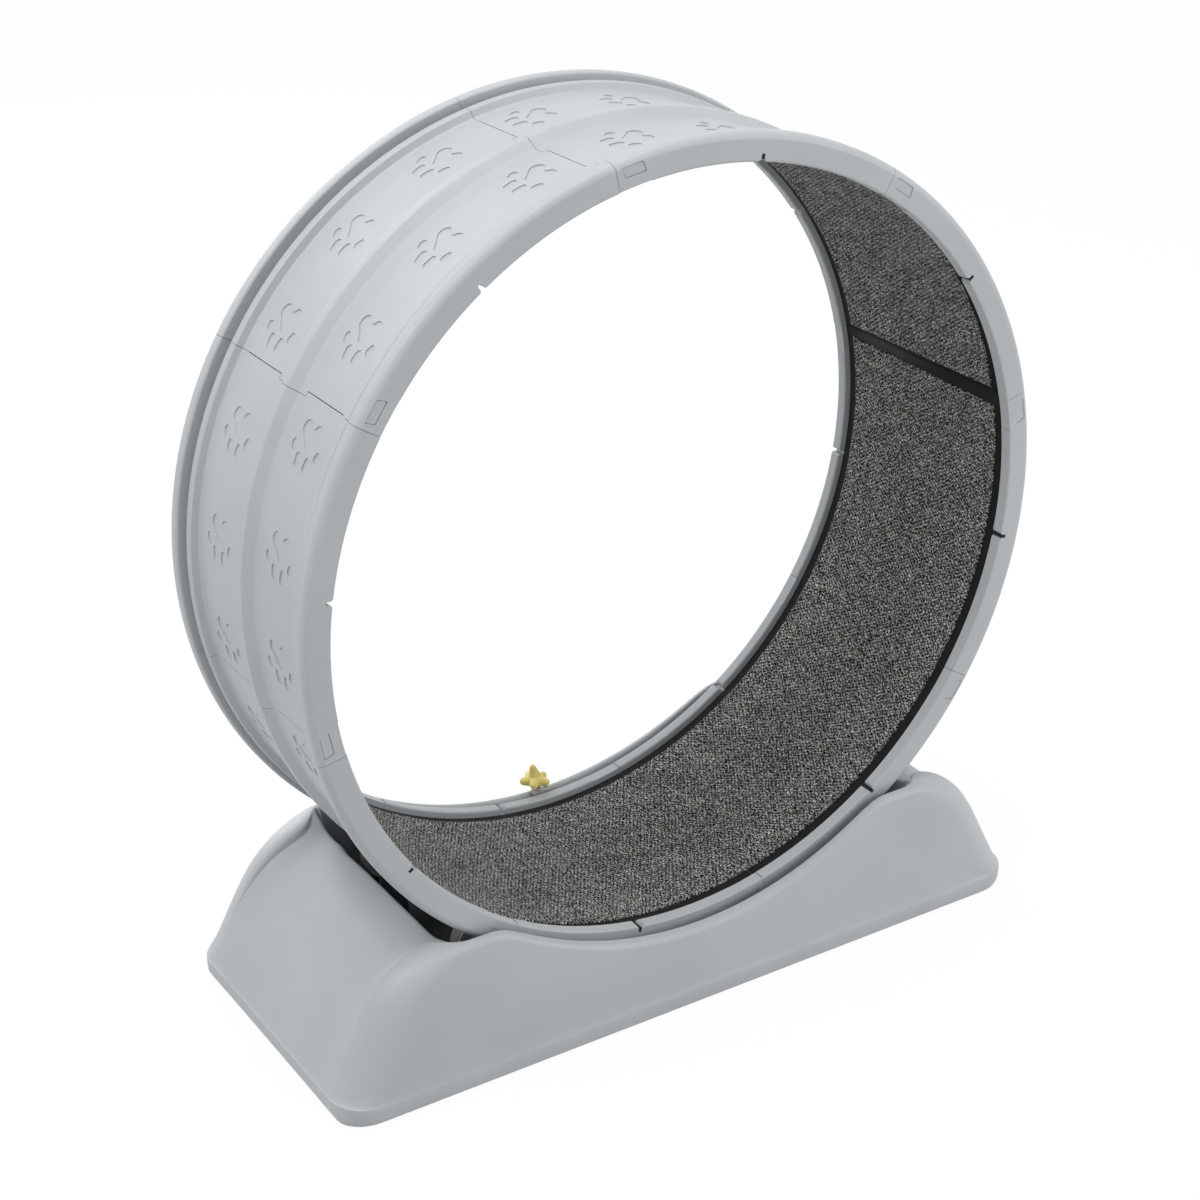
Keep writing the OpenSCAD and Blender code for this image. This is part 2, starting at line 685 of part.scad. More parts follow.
// Roller parts, drawn on the roller's own axis
bearing_d = 22;
bearing_w = 7;
hub_flange_w = 2;
hub_flange_drop = 1.2;
bearing_seat = 3;
hub_recess = 3;
hub_wall = 1;
seat_d = bearing_d + 2 * bearing_seat;
module roller_hub(i)
    color(plastic) at_roller(i) difference() {
        union() {
            cylinder(r = roller_d / 2 - tyre_t, h = roller_w, center = true);
            for (s = [-1, 1])
                translate([0, 0, s * (roller_w - hub_flange_w) / 2])
                    cylinder(r = roller_d / 2 - hub_flange_drop, h = hub_flange_w, center = true);
        }
        cylinder(d = bearing_d - 2 * bearing_seat, h = roller_w + over, center = true, $fn = small_fn);
        for (s = [-1, 1])
            translate([0, 0, s * (roller_w + over) / 2])
                cylinder(d = bearing_d, h = 2 * bearing_w + over, center = true, $fn = small_fn);
        for (s = [-1, 1])
            translate([0, 0, s * (roller_w / 2 + over / 2)])
                difference() {
                    cylinder(r = roller_d / 2 - tyre_t - hub_wall, h = hub_recess + over, center = true);
                    cylinder(d = seat_d, h = hub_recess + 2 * over, center = true, $fn = small_fn);
                }
    }

module roller_tyre(i)
    color(tyre_colour) at_roller(i) difference() {
        cylinder(d = roller_d, h = roller_w - 2 * hub_flange_w, center = true);
        cylinder(r = roller_d / 2 - tyre_t, h = roller_w, center = true);
    }

bearing_groove = 0.6;
ring_w = 2;
shield_d = bearing_d - 2 * ring_w;
running_gap = 0.03;
module roller_bearings(i)
    color(steel) at_roller(i)
        for (s = [-1, 1])
            translate([0, 0, s * (roller_w - bearing_w) / 2]) difference() {
                cylinder(d = bearing_d, h = bearing_w, center = true, $fn = small_fn);
                cylinder(r = axle_d / 2 + running_gap, h = bearing_w + over, center = true, $fn = small_fn);
                for (e = [-1, 1])
                    translate([0, 0, e * bearing_w / 2]) difference() {
                        cylinder(d = shield_d, h = 2 * bearing_groove, center = true, $fn = small_fn);
                        cylinder(d = axle_d + 2 * ring_w, h = 2 * over, center = true, $fn = small_fn);
                    }
            }

axle_head_h = 4.5;
axle_nut_h = 5;
axle_nut_w = 13;
axle_end = 1;
cheek_out = roller_w / 2 + cheek_gap + cheek_t;
module roller_axle(i)
    color(steel) at_roller(i) {
        translate([0, 0, -cheek_out - axle_nut_h - axle_end])
            cylinder(d = axle_d, h = 2 * cheek_out + axle_nut_h + axle_end + axle_head_h / 2, $fn = small_fn);
        translate([0, 0, cheek_out]) cylinder(d = axle_nut_w, h = axle_head_h, $fn = small_fn);
    }

module axle_nuts()
    color(steel)
        for (i = [0:3])
            at_roller(i) translate([0, 0, -cheek_out - axle_nut_h]) hex_nut(axle_d, axle_nut_w, axle_nut_h);

// Toy on the back wall: a clip with a socket, a springy stem and a soft star
toy_inset = 5;
toy_y = well_half_w + toy_inset;
toy_x = 0;
toy_z = axle_h - cradle_r;
clip_l = 24;
clip_w = 7;
clip_t = 2.5;
clip_leg = 14;
clip_leg_t = 2;
socket_d = 9;
socket_h = 2.5;
post_d = 5;
post_h = 3;
post_x = 9;
stem_d = 4;
stem_l = 4;
ball_r = 3;
ball_gap = 0.4;
socket_x = -3;
clip_lift = 0.75;
clip_z = toy_z + clip_lift;
pivot_z = clip_z + clip_t + socket_h;
module toy_clip()
    color(plastic) difference() {
        union() {
            translate([toy_x - clip_l / 2, well_half_w, clip_z]) cube([clip_l, clip_w, clip_t]);
            translate([toy_x - clip_l / 2, well_half_w - clip_leg_t - plate_gap, clip_z + clip_t - clip_leg])
                cube([clip_l, clip_leg_t, clip_leg]);
            translate([toy_x - clip_l / 2, well_half_w - clip_leg_t / 2, clip_z])
                cube([clip_l, clip_leg_t, clip_t]);
            translate([toy_x + socket_x, toy_y, clip_z])
                cylinder(d = socket_d, h = clip_t + socket_h, $fn = small_fn);
            translate([toy_x + post_x, toy_y, clip_z])
                cylinder(d = post_d, h = clip_t + post_h, $fn = small_fn);
        }
        translate([toy_x + socket_x, toy_y, pivot_z - ball_r - ball_gap])
            cylinder(r = ball_r + ball_gap, h = socket_h + ball_r, $fn = small_fn);
    }

// The stem ends in a ball at the clip and in a ball inside the star, so the star sways and nods
module toy_stem()
    color(dark_plastic) translate([toy_x + socket_x, toy_y, pivot_z]) {
        sphere(r = ball_r, $fn = small_fn);
        cylinder(d = stem_d, h = stem_l, $fn = small_fn);
        translate([0, 0, stem_l]) sphere(r = ball_r, $fn = small_fn);
    }

star_foot_r = 5.6;
star_body_r = 7.8;
star_ring_z = 7;
star_tip_r = 3.4;
star_core_r = 6.4;
lobe_r = 5.2;
lobe_waist = 0.4;
star_lobes = 5;
module toy_star()
    color(toy_yellow) translate([toy_x + socket_x, toy_y, pivot_z + stem_l]) difference() {
        union() {
            cylinder(r1 = star_foot_r, r2 = star_body_r, h = star_ring_z);
            translate([0, 0, star_ring_z]) sphere(r = star_body_r, $fn = small_fn);
            translate([0, 0, star_ring_z])
                cylinder(r1 = star_core_r, r2 = star_tip_r, h = star_h - star_tip_r - star_ring_z);
            translate([0, 0, star_h - star_tip_r]) sphere(r = star_tip_r, $fn = small_fn);
            for (i = [0:star_lobes - 1])
                rotate([0, 0, 90 + i * 360 / star_lobes]) {
                    translate([star_w / 2 - lobe_r, 0, star_ring_z]) sphere(r = lobe_r, $fn = small_fn);
                    translate([0, 0, star_ring_z]) rotate([0, 90, 0])
                        cylinder(r = lobe_r - lobe_waist, h = star_w / 2 - lobe_r, $fn = small_fn);
                }
        }
        sphere(r = ball_r + ball_gap, $fn = small_fn);
    }

base_shell();
bottom_plate();
rubber_feet();
bracket_bolts();
bracket_nuts();
roller_bracket(0);  // roller_bracket_1
roller_bracket(1);  // roller_bracket_2
roller_bracket(2);  // roller_bracket_3
roller_bracket(3);  // roller_bracket_4
roller_hub(0);  // roller_hub_1
roller_hub(1);  // roller_hub_2
roller_hub(2);  // roller_hub_3
roller_hub(3);  // roller_hub_4
roller_tyre(0);  // roller_tyre_1
roller_tyre(1);  // roller_tyre_2
roller_tyre(2);  // roller_tyre_3
roller_tyre(3);  // roller_tyre_4
roller_bearings(0);  // roller_bearings_1
roller_bearings(1);  // roller_bearings_2
roller_bearings(2);  // roller_bearings_3
roller_bearings(3);  // roller_bearings_4
roller_axle(0);  // roller_axle_1
roller_axle(1);  // roller_axle_2
roller_axle(2);  // roller_axle_3
roller_axle(3);  // roller_axle_4
axle_nuts();
wheel_segment(0);  // wheel_segment_1
wheel_segment(1);  // wheel_segment_2
wheel_segment(2);  // wheel_segment_3
wheel_segment(3);  // wheel_segment_4
wheel_segment(4);  // wheel_segment_5
wheel_segment(5);  // wheel_segment_6
wheel_segment(6);  // wheel_segment_7
wheel_segment(7);  // wheel_segment_8
tread_mat(0);  // tread_mat_1
tread_mat(1);  // tread_mat_2
tread_mat(2);  // tread_mat_3
tread_mat(3);  // tread_mat_4
toy_clip();
toy_stem();
toy_star();
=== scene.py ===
# %% [markdown]
# A cat exercise wheel for the living room: eight clipped plastic segments make the wheel, carpet lines
# it, and it turns on four rollers in the trough of a long low foot. The moving frame of the part comes
# packed from CAD. This script dresses that frame: moulded plastic, looped carpet, and a soft toy.

# %% Load the frame
import json
import math
import bpy
import bmesh
from mathutils import Matrix, Vector, noise


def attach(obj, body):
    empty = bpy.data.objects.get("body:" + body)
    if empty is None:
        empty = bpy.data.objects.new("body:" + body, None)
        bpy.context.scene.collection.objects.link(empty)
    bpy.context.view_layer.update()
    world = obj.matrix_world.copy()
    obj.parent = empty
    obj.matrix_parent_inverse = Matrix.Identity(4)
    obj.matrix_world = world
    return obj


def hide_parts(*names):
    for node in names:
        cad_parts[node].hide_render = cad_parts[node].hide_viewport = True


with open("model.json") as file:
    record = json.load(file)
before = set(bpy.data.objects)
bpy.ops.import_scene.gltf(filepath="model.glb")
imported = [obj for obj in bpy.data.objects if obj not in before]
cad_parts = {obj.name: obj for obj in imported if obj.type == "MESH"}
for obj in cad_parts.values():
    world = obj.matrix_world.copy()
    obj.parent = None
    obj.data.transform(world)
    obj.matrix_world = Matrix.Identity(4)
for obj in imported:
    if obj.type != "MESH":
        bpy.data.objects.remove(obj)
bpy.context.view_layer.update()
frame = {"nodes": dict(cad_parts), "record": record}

# %% [markdown]
# Everything new ends up in the scene by the same two steps: a bmesh becomes a mesh, and an object that
# holds it is linked to the scene. Two helpers say that once.


# %% Meshes and objects
def finished_mesh(name, bm):
    mesh = bpy.data.meshes.new(name)
    bm.to_mesh(mesh)
    bm.free()
    return mesh


def add_object(name, data):
    obj = bpy.data.objects.new(name, data)
    bpy.context.scene.collection.objects.link(obj)
    return obj


# %% [markdown]
# The camera comes first. It stands at the front left, a little above the wheel, with the lens of a
# product photo taken from two and a half metres. Its place was fitted to the rims and the foot.

# %% Camera
AXLE = Vector((0, 0, 0.520))
AZIMUTH, ELEVATION = math.radians(-32.6725), math.radians(25.8165)
DISTANCE, SHIFT_RIGHT, SHIFT_UP = 2.5678, -0.0176, -0.09055
LENS_MM, SENSOR_MM = 71.49, 36

back = Vector((math.sin(AZIMUTH) * math.cos(ELEVATION),
               -math.cos(AZIMUTH) * math.cos(ELEVATION), math.sin(ELEVATION)))
right = Vector((math.cos(AZIMUTH), math.sin(AZIMUTH), 0))
up = back.cross(right)
camera_data = bpy.data.cameras.new("camera")
camera_data.lens = LENS_MM
camera_data.sensor_width = SENSOR_MM
camera_data.clip_start = 0.05
camera = add_object("camera", camera_data)
stand = AXLE + back * DISTANCE + right * SHIFT_RIGHT + up * SHIFT_UP
camera.matrix_world = Matrix.Translation(stand) @ Matrix((right, up, back)).transposed().to_4x4()
bpy.context.scene.camera = camera
print("camera at", tuple(round(v, 3) for v in camera.location))

# %% [markdown]
# The light is that of a white studio: an even pale surround and four large soft lamps, one overhead,
# one high on the left, and two low ones at the back and at the front right. Their levels were chosen
# by setting the grey plastic of a picture lit by each lamp alone against the photo.

# %% Lamps
LAMP_SIZE = 2.0
LAMP_AIM = Vector((0, 0, 0.4))
LAMPS = {
    "overhead": ((0, 0, 4.4), 48),
    "left": ((-2.57, 0, 3.46), 50),
    "back": ((0, 3.86, 1.44), 41),
    "right": ((2.73, -2.73, 1.44), 43),
}


def soft_lamp(name, place, power):
    data = bpy.data.lights.new(name, "AREA")
    data.shape = "DISK"
    data.size = LAMP_SIZE
    data.energy = power
    obj = add_object(name, data)
    obj.location = place
    obj.rotation_euler = (Vector(place) - LAMP_AIM).to_track_quat("Z", "Y").to_euler()


for name, (place, power) in LAMPS.items():
    soft_lamp(name, place, power)
bpy.context.scene.view_settings.view_transform = "Standard"
print("lamps:", ", ".join(LAMPS))

# %% [markdown]
# Materials are networks of nodes, and long sums are hard to read as nodes. This small class wraps one
# socket and overloads the operators, so an expression such as 1 - mask adds its own Math nodes. Any
# other node comes from its method put, which takes the node's type, settings, and socket values.


# %% Shader values
class Value:
    def __init__(self, tree, socket=None):
        self.tree = tree
        self.socket = socket

    def put(self, kind, settings=None, out=0, **values):
        """A new node's output. i0 is its first input, and From_Min the input named From Min."""
        node = self.tree.nodes.new(kind)
        for key, value in (settings or {}).items():
            setattr(node, key, value)
        for key, value in values.items():
            place = node.inputs[int(key[1:]) if key[1:].isdigit() else key.replace("_", " ")]
            if isinstance(value, Value):
                self.tree.links.new(value.socket, place)
            else:
                place.default_value = value
        return Value(self.tree, node.outputs[out])

    def math(self, operation, a, b=0.0):
        return self.put("ShaderNodeMath", {"operation": operation}, i0=a, i1=b)

    def __add__(self, other): return self.math("ADD", self, other)
    def __radd__(self, other): return self.math("ADD", other, self)
    def __sub__(self, other): return self.math("SUBTRACT", self, other)
    def __rsub__(self, other): return self.math("SUBTRACT", other, self)
    def __mul__(self, other): return self.math("MULTIPLY", self, other)
    def __rmul__(self, other): return self.math("MULTIPLY", other, self)

    def between(self, low, high):
        """0 below low, 1 above high, smooth in between."""
        smooth = {"interpolation_type": "SMOOTHSTEP"}
        return self.put("ShaderNodeMapRange", smooth, Value=self, From_Min=low, From_Max=high)

    def mix(self, a, b):
        """The colour a where this is 0 and b where it is 1."""
        a = a if isinstance(a, Value) else (*a, 1)
        b = b if isinstance(b, Value) else (*b, 1)
        return self.put("ShaderNodeMix", {"data_type": "RGBA"}, out=2, i0=self, i6=a, i7=b)


# %% [markdown]
# The surround's own network uses the class already. It is pure white where the camera or a mirror-like
# surface sees it, or where glass would show it, and at the level of the studio for all rays that light
# the part. The Light Path node tells these rays apart.


# %% Surround
SURROUND = 0.515


def seen_itself(start):
    """1 for the rays that show a thing as it is, 0 for those that carry its light to others."""
    kinds = ("Is Camera Ray", "Is Glossy Ray", "Is Transmission Ray")
    camera_ray, glossy_ray, through_ray = [start.put("ShaderNodeLightPath", out=kind) for kind in kinds]
    return start.math("MAXIMUM", start.math("MAXIMUM", camera_ray, glossy_ray), through_ray)


world = bpy.data.worlds.new("studio")
bpy.context.scene.world = world
world.use_nodes = True
background = next(n for n in world.node_tree.nodes if n.type == "BACKGROUND")
strength = SURROUND + (1 - SURROUND) * seen_itself(Value(world.node_tree))
background.inputs["Color"].default_value = (1, 1, 1, 1)
world.node_tree.links.new(strength.socket, background.inputs["Strength"])
print("surround", SURROUND)

# %% [markdown]
# Every finish starts from an empty Principled shader. These helpers make one, feed its sockets, and
# turn a colour as it looks on screen into the linear values that a shader works with.


# %% Starting a material
def new_material(name):
    """A material with its Principled shader, a start for its values and its Object coordinates."""
    material = bpy.data.materials.new(name)
    material.use_nodes = True
    shader = next(n for n in material.node_tree.nodes if n.type == "BSDF_PRINCIPLED")
    start = Value(material.node_tree)
    place = start.put("ShaderNodeTexCoord", out="Object")
    return material, shader, start, place


def feed(shader, **sockets):
    for name, value in sockets.items():
        socket = shader.inputs[name.replace("_", " ")]
        if isinstance(value, Value):
            value.tree.links.new(value.socket, socket)
        else:
            socket.default_value = value


def colour(red, green, blue):
    """Linear values of a colour given as it looks on screen, from 0 to 255."""
    def linear(v):
        return v / 255 / 12.92 if v < 10.3 else ((v / 255 + 0.055) / 1.055) ** 2.4
    return linear(red), linear(green), linear(blue)


print("mid grey is", round(colour(128, 128, 128)[0], 3), "in linear light")

# %% [markdown]
# The wheel and the foot are injection-moulded polypropylene: a cool light grey with a satin skin. A
# real moulding isn't one flat colour, so a slow noise shifts its tone a little, a second one its
# gloss, and a very fine one gives the skin its grain.

# %% Moulded plastic
CLOUD_SCALE, FLOW_SCALE, SKIN_SCALE = 7.0, 40.0, 900.0
SKIN_DEPTH = 0.0002


def moulded_plastic(name, tint, rough, grain):
    material, shader, start, place = new_material(name)
    cloud = start.put("ShaderNodeTexNoise", Vector=place, Scale=CLOUD_SCALE, Detail=2.0)
    skin = start.put("ShaderNodeTexNoise", Vector=place, Scale=SKIN_SCALE, Detail=2.0)
    flow = start.put("ShaderNodeTexNoise", Vector=place, Scale=FLOW_SCALE, Detail=3.0)
    darker = tuple(v * 0.965 for v in tint)
    lighter = tuple(min(1, v * 1.025) for v in tint)
    bump = start.put("ShaderNodeBump", Strength=grain, Distance=SKIN_DEPTH, Height=skin)
    feed(shader, Base_Color=cloud.between(0.3, 0.7).mix(darker, lighter),
         Roughness=rough + 0.08 * flow, Normal=bump)
    return material


grey_plastic = moulded_plastic("grey_plastic", colour(186, 191, 193), 0.42, 0.12)
dark_plastic = moulded_plastic("dark_plastic", colour(112, 114, 116), 0.45, 0.15)
print("plastics:", grey_plastic.name, dark_plastic.name)

# %% [markdown]
# The rollers' tyres and the pads are rubber, and the axles and bolts are zinc-plated steel. Dust makes
# the rubber's tone uneven. The steel has a fine grain and stains that change its gloss.

# %% Rubber and steel
DUST_SCALE = 260.0
PLATING_SCALE, STAIN_SCALE = 600.0, 60.0
PLATING_DEPTH = 0.0001


def rubber(name, tint, rough):
    material, shader, start, place = new_material(name)
    dust = start.put("ShaderNodeTexNoise", Vector=place, Scale=DUST_SCALE, Detail=4.0)
    bump = start.put("ShaderNodeBump", Strength=0.25, Distance=SKIN_DEPTH, Height=dust)
    dusty = tuple(v * 1.35 for v in tint)
    feed(shader, Base_Color=dust.between(0.35, 0.75).mix(tint, dusty),
         Roughness=rough + 0.1 * dust, Normal=bump)
    return material


def plated_steel(name, tint):
    material, shader, start, place = new_material(name)
    plating = start.put("ShaderNodeTexNoise", Vector=place, Scale=PLATING_SCALE, Detail=1.0)
    stain = start.put("ShaderNodeTexNoise", Vector=place, Scale=STAIN_SCALE, Detail=3.0)
    bump = start.put("ShaderNodeBump", Strength=0.15, Distance=PLATING_DEPTH, Height=plating)
    stained = tuple(v * 0.85 for v in tint)
    feed(shader, Base_Color=stain.between(0.3, 0.7).mix(tint, stained), Metallic=1.0,
         Roughness=0.28 + 0.12 * stain, Normal=bump)
    return material


pad_rubber = rubber("pad_rubber", colour(46, 46, 48), 0.62)
tyre_rubber = rubber("tyre_rubber", colour(128, 128, 118), 0.55)
steel = plated_steel("steel", colour(205, 205, 208))
print("rubbers and steel:", pad_rubber.name, tyre_rubber.name, steel.name)

# %% [markdown]
# The carpet is a heathered loop pile: dark and light yarns twisted together, on a black backing that
# shows as a band along both edges. The loops stand in rows, so two sine waves, one along the mat and
# one across it, make a grid in which light and dark loops take turns, and a noise bends the grid so
# that the rows come and go as in real pile. The pattern follows the mat's own UV map, in metres along
# and across the mat, so it keeps its scale right round the wheel.

# %% Carpet
LOOP_LONG, LOOP_WIDE = 0.0025, 0.0037
LOOP_HEIGHT = 0.0012
STRAY_SCALE, STRAY_LOOPS = 290.0, 3.8
YARN_SCALE, WEAR_SCALE = 0.9, 26.0


def carpet_pile(name, dark, light, fleck):
    material, shader, start, _ = new_material(name)
    lay = start.put("ShaderNodeUVMap", {"uv_map": "lay"})
    even = start.put("ShaderNodeVectorMath", {"operation": "MULTIPLY"},
                     i0=lay, i1=(1 / LOOP_LONG, 1 / LOOP_WIDE, 0.0))
    stray = start.put("ShaderNodeTexNoise", out="Color", Vector=lay, Scale=STRAY_SCALE, Detail=2.0)
    grid = start.put("ShaderNodeVectorMath", {"operation": "MULTIPLY_ADD"},
                     i0=stray, i1=(STRAY_LOOPS, STRAY_LOOPS, 0.0), i2=even)
    along = start.put("ShaderNodeSeparateXYZ", Vector=grid, out="X")
    across = start.put("ShaderNodeSeparateXYZ", Vector=grid, out="Y")
    rows = start.math("SINE", along * math.pi)
    loops = rows * start.math("SINE", across * math.pi)
    yarn = start.put("ShaderNodeTexNoise", Vector=grid, Scale=YARN_SCALE, Detail=0.0)
    worn = start.put("ShaderNodeTexNoise", Vector=lay, Scale=WEAR_SCALE, Detail=3.0)
    tone = 0.5 + loops * (0.32 + 1.3 * yarn) + 0.3 * rows * (yarn - 0.4) + 0.3 * (worn - 0.5)
    heather = tone.between(0.95, 1.15).mix(tone.between(0.05, 0.95).mix(dark, light), fleck)
    height = start.math("ABSOLUTE", loops)
    bump = start.put("ShaderNodeBump", Strength=0.6, Distance=LOOP_HEIGHT, Height=height)
    feed(shader, Base_Color=heather, Roughness=0.95, Normal=bump, Specular_IOR_Level=0.15)
    return material


pile = carpet_pile("carpet_pile", colour(17, 17, 17), colour(143, 144, 142), colour(230, 229, 222))
backing = rubber("carpet_backing", colour(15, 15, 14), 0.85)
print("carpet loops of", LOOP_LONG * 1000, "by", LOOP_WIDE * 1000, "mm")

# %% [markdown]
# The toy is soft silicone. A little light goes through it, which subsurface scattering gives, and a
# slow noise keeps its yellow from being flat.

# %% Silicone
silicone, shader, start, place = new_material("toy_silicone")
cloud = start.put("ShaderNodeTexNoise", Vector=place, Scale=120.0, Detail=2.0)
yellow = cloud.between(0.3, 0.7).mix(colour(248, 224, 126), colour(252, 236, 152))
feed(shader, Base_Color=yellow, Roughness=0.5, Subsurface_Weight=0.15,
     Subsurface_Radius=(0.004, 0.003, 0.001))
print("soft:", silicone.name)

# %% [markdown]
# A node that comes from CAD is a set of loose triangles. Its shape is right, so a copy keeps it: the
# copy's doubles are merged, edges that turn by more than a set angle stay sharp, and a Weighted Normal
# modifier lets the large faces decide the shading, as they do on a moulding.

# %% Copy of a CAD node
MERGE_DISTANCE, SLIVER_LENGTH = 0.00001, 0.000005
QUAD_BEND, ANY_SHAPE = math.radians(50), math.radians(180)


def body_of(node):
    for body, nodes in frame["record"]["behaviour"]["bodies"].items():
        if node in nodes:
            return body


def smooth_copy(node, material, angle=32, quads=False):
    bm = bmesh.new()
    bm.from_mesh(frame["nodes"][node].data)
    bmesh.ops.remove_doubles(bm, verts=bm.verts, dist=MERGE_DISTANCE)
    bmesh.ops.dissolve_degenerate(bm, edges=bm.edges, dist=SLIVER_LENGTH)
    if quads:
        bmesh.ops.join_triangles(bm, faces=bm.faces, angle_face_threshold=QUAD_BEND,
                                 angle_shape_threshold=ANY_SHAPE)
    for face in bm.faces:
        face.smooth = True
    for edge in bm.edges:
        edge.smooth = len(edge.link_faces) == 2 and edge.calc_face_angle(0) < math.radians(angle)
    obj = add_object(node + "_skin", finished_mesh(node + "_skin", bm))
    obj.data.materials.append(material)
    if not quads:
        normals = obj.modifiers.new("normals", "WEIGHTED_NORMAL")
        normals.keep_sharp = True
    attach(obj, body_of(node))
    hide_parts(node)
    return obj


# %% [markdown]
# The eight segments are the largest visible pieces. Their paw prints, clip windows, notches and the
# lapped seam are all modelled in CAD, so the copies only need the right shading and skin.

# %% Wheel segments
segments = [smooth_copy("wheel_segment_%d" % k, grey_plastic) for k in range(1, 9)]
print(len(segments), "segments,", sum(len(s.data.polygons) for s in segments), "faces")

# %% [markdown]
# The foot is one deep moulded shell with soft shoulders and a scooped dish in each end. CAD gives it
# as a grid of flat facets. The copy's triangles are joined back into quads and subdivided, which turns
# the facets into the smooth skin of the real moulding.

# %% Foot
foot = smooth_copy("base_shell", grey_plastic, angle=60, quads=True)
smooth = foot.modifiers.new("smooth", "SUBSURF")
smooth.levels = smooth.render_levels = 2
print("foot:", len(foot.data.polygons), "faces before subdivision")

# %% [markdown]
# The rollers, their brackets and axles sit low in the trough, where a corner of them shows beside the
# wheel. They keep their CAD shape with a smooth copy each, and the fasteners only get a finish.

# %% Rollers and fasteners
for k in range(1, 5):
    smooth_copy("roller_hub_%d" % k, grey_plastic)
    smooth_copy("roller_tyre_%d" % k, tyre_rubber)
    smooth_copy("roller_bracket_%d" % k, dark_plastic)
smooth_copy("toy_clip", grey_plastic)
smooth_copy("toy_stem", dark_plastic)

finishes = {"bottom_plate": dark_plastic, "rubber_feet": pad_rubber}
finishes.update({node: steel for node in ("bracket_bolts", "bracket_nuts", "axle_nuts")})
for k in range(1, 5):
    finishes["roller_bearings_%d" % k] = finishes["roller_axle_%d" % k] = steel
for node, material in finishes.items():
    mesh = frame["nodes"][node].data
    mesh.materials.clear()
    mesh.materials.append(material)
print("finish given to", len(finishes), "nodes")

# %% [markdown]
# Each carpet mat lies on a quarter of the deck, between two of the wheel's seams. It has two layers:
# the backing, and the pile that stands on it and stops short of the edges. The bare backing is the
# black band beside each rim. The wide black strip where the second mat starts is part bare backing and
# part painted shade, the shade in that seam. Places on the wheel are given by their turn from the top,
# clockwise as seen from the front.

# %% Mat sizes
MATS = 4
SEAM_TURN, MAT_TURN = -13.34, 90
DECK_R = 0.430
MAT_HALF_W = 0.1395
BACKING_T, PILE_T = 0.0022, 0.0039
FRONT_BAND_W, BACK_BAND_W = 0.0168, 0.0110
# the second mat's wide start gap bares black backing as a strip that is partly painted shade
START_GAP_AND_SHADE, END_GAP = (0.0006, 0.0165, 0.0005, 0.0006), (0.0040, 0.0005, 0.0006, 0.0006)
START_SKEW = (0, -0.026, 0, 0)


def at_turn(turn, radius, y):
    a = math.radians(turn)
    return Vector((radius * math.sin(a), y, AXLE.z + radius * math.cos(a)))


def turn_of(length):
    """The turn that a length along the deck spans."""
    return math.degrees(length / DECK_R)


print("one mat is", round(math.radians(MAT_TURN) * DECK_R, 3), "m long and", 2 * MAT_HALF_W, "m wide")

# %% [markdown]
# A mat is its cross-section spun round the wheel's axis. Spin leaves a doubled row at its start, which
# is merged before the normals are made to point outwards. The UV map unrolls the mat: how far along the
# deck a point lies, and how far across. The turn of a face's middle keeps a face at the bottom of the
# wheel, where the angle jumps by a full turn, in one piece.

# %% Spinning a section
SAME_POINT = 0.000001


def spun(name, profile, from_turn, to_turn, steps):
    """The closed profile, points of radius and y, spun between two turns, with its ends closed."""
    bm = bmesh.new()
    verts = [bm.verts.new(at_turn(from_turn, r, y)) for r, y in profile]
    section = bm.faces.new(verts)
    bmesh.ops.spin(bm, geom=[section] + list(section.edges) + verts, cent=AXLE, axis=(0, 1, 0),
                   angle=math.radians(to_turn - from_turn), steps=steps, use_duplicate=False)
    bmesh.ops.remove_doubles(bm, verts=bm.verts, dist=SAME_POINT)
    bmesh.ops.recalc_face_normals(bm, faces=bm.faces)
    lay = bm.loops.layers.uv.new("lay")
    for face in bm.faces:
        face.smooth = True
        middle = face.calc_center_median()
        near = math.atan2(middle.x, middle.z - AXLE.z)
        for loop in face.loops:
            p = loop.vert.co
            a = math.atan2(p.x, p.z - AXLE.z)
            a += round((near - a) / (2 * math.pi)) * 2 * math.pi
            loop[lay].uv = (a * DECK_R, p.y)
    return add_object(name, finished_mesh(name, bm))


print("sections are spun about an axle", round(AXLE.z, 3), "m above the floor")

# %% [markdown]
# The pile is cut by hand, so its edges aren't perfect. They are rounded over, a noise moves the side
# rows in and out by half a millimetre, and the second mat's first edge is cut slightly askew, a lean
# that fades away along the mat. That lean shapes the wide black strip there, which is partly painted shade.

# %% Edges of the pile
EDGE_STRAY, EDGE_WAVES = 0.0007, 130


def rounded_edge(radius, y, round_r, sign, steps=5):
    """Points of a rounded pile edge, from its side to its top."""
    return [(radius + round_r * (1 - math.sin(a)), sign * (y - round_r * (1 - math.cos(a))))
            for a in (math.pi / 2 * k / steps for k in range(steps + 1))]


def stray_edges(mesh, front, rear, depth):
    for vert in mesh.vertices:
        if vert.co.y > rear - depth or vert.co.y < depth - front:
            vert.co.y += EDGE_STRAY * noise.noise(vert.co * EDGE_WAVES)


def skew_start(mesh, from_turn, to_turn, skew):
    """Turns the mat's first cut edge so that it leans by skew, and less and less along the mat."""
    for vert in mesh.vertices:
        turn = math.degrees(math.atan2(vert.co.x, vert.co.z - AXLE.z)) % 360
        share = (to_turn - turn) % 360 / (to_turn - from_turn)
        lean = turn_of(skew * vert.co.y) * max(0, min(1, share)) ** 4
        reach = math.hypot(vert.co.x, vert.co.z - AXLE.z)
        vert.co = at_turn(turn + lean, reach, vert.co.y)


print("pile edges stray by up to", EDGE_STRAY * 1000, "mm")

# %% [markdown]
# The notches in the front rim look black inside, but for two at the left that are open. On three of the four
# mats a small black tab, built with the backing, fills each of its two notches: painted shade for the dark
# inside of the notch.

